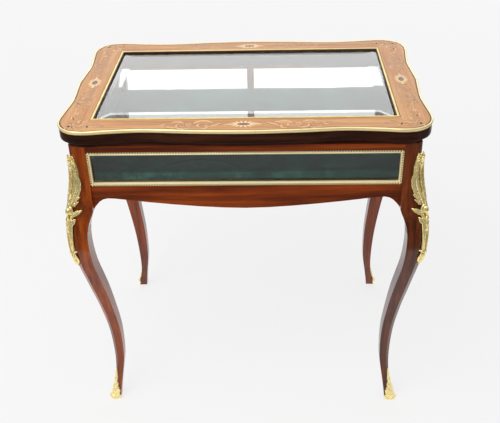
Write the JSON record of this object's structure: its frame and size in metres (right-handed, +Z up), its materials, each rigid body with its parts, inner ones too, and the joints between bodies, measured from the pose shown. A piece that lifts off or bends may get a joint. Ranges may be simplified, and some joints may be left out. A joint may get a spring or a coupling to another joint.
{
  "type": "collectors display table",
  "caption": "Glass-topped display table with a shallow glazed case, a hinged glazed lid and cabriole legs with gilt mounts.",
  "frame": {"origin": "on the floor, under the middle of the table", "axes": "+Z up, +X to the right end seen from the front, +Y to the back, where the lid is hinged"},
  "size_m": [0.777, 0.5216, 0.76],
  "materials": {
    "rosewood": "dark reddish rosewood, french polished",
    "marquetry": "light veneer with marquetry, french polished, over a dark moulded edge",
    "gilt_brass": "gilt brass, cast and polished",
    "hinge_brass": "plain brass, brushed",
    "clear_glass": "clear polished glass",
    "green_velvet": "dark green velvet"
  },
  "bodies": {
    "case": {"leg_front_left": "rosewood", "leg_front_right": "rosewood", "leg_back_left": "rosewood", "leg_back_right": "rosewood", "knee_mount_front_left": "gilt_brass", "knee_mount_front_right": "gilt_brass", "knee_mount_back_left": "gilt_brass", "knee_mount_back_right": "gilt_brass", "sabot_front_left": "gilt_brass", "sabot_front_right": "gilt_brass", "sabot_back_left": "gilt_brass", "sabot_back_right": "gilt_brass", "top_rail_front": "rosewood", "top_rail_right": "rosewood", "top_rail_back": "rosewood", "top_rail_left": "rosewood", "apron_front": "rosewood", "apron_right": "rosewood", "apron_back": "rosewood", "apron_left": "rosewood", "pane_front": "clear_glass", "pane_right": "clear_glass", "pane_back_left": "clear_glass", "pane_back_right": "clear_glass", "pane_left": "clear_glass", "bead_frame_front": "gilt_brass", "bead_frame_right": "gilt_brass", "bead_frame_back_left": "gilt_brass", "bead_frame_back_right": "gilt_brass", "bead_frame_left": "gilt_brass", "back_post": "rosewood", "base_board": "rosewood", "velvet_pad": "green_velvet", "hinge_case_leaf_left": "hinge_brass", "hinge_pin_left": "hinge_brass", "hinge_case_leaf_right": "hinge_brass", "hinge_pin_right": "hinge_brass", "case_screw_left_1": "hinge_brass", "case_screw_left_2": "hinge_brass", "case_screw_right_1": "hinge_brass", "case_screw_right_2": "hinge_brass"},
    "lid": {"lid_rail_front": "marquetry", "lid_rail_right": "marquetry", "lid_rail_back": "marquetry", "lid_rail_left": "marquetry", "lid_edging_front_right": "gilt_brass", "lid_edging_right": "gilt_brass", "lid_edging_back_right": "gilt_brass", "lid_edging_back_left": "gilt_brass", "lid_edging_left": "gilt_brass", "lid_edging_front_left": "gilt_brass", "lid_bezel": "gilt_brass", "lid_glass": "clear_glass", "hinge_lid_leaf_left": "hinge_brass", "hinge_lid_leaf_right": "hinge_brass", "lid_screw_left_1": "hinge_brass", "lid_screw_left_2": "hinge_brass", "lid_screw_right_1": "hinge_brass", "lid_screw_right_2": "hinge_brass"}
  },
  "joints": [
    {"name": "lid_hinge", "type": "hinge", "parent": "case", "child": "lid", "pos_m": [0, 0.2385, 0.71775], "axis": [-1, 0, 0], "range_deg": [0, 95]}
  ]
}
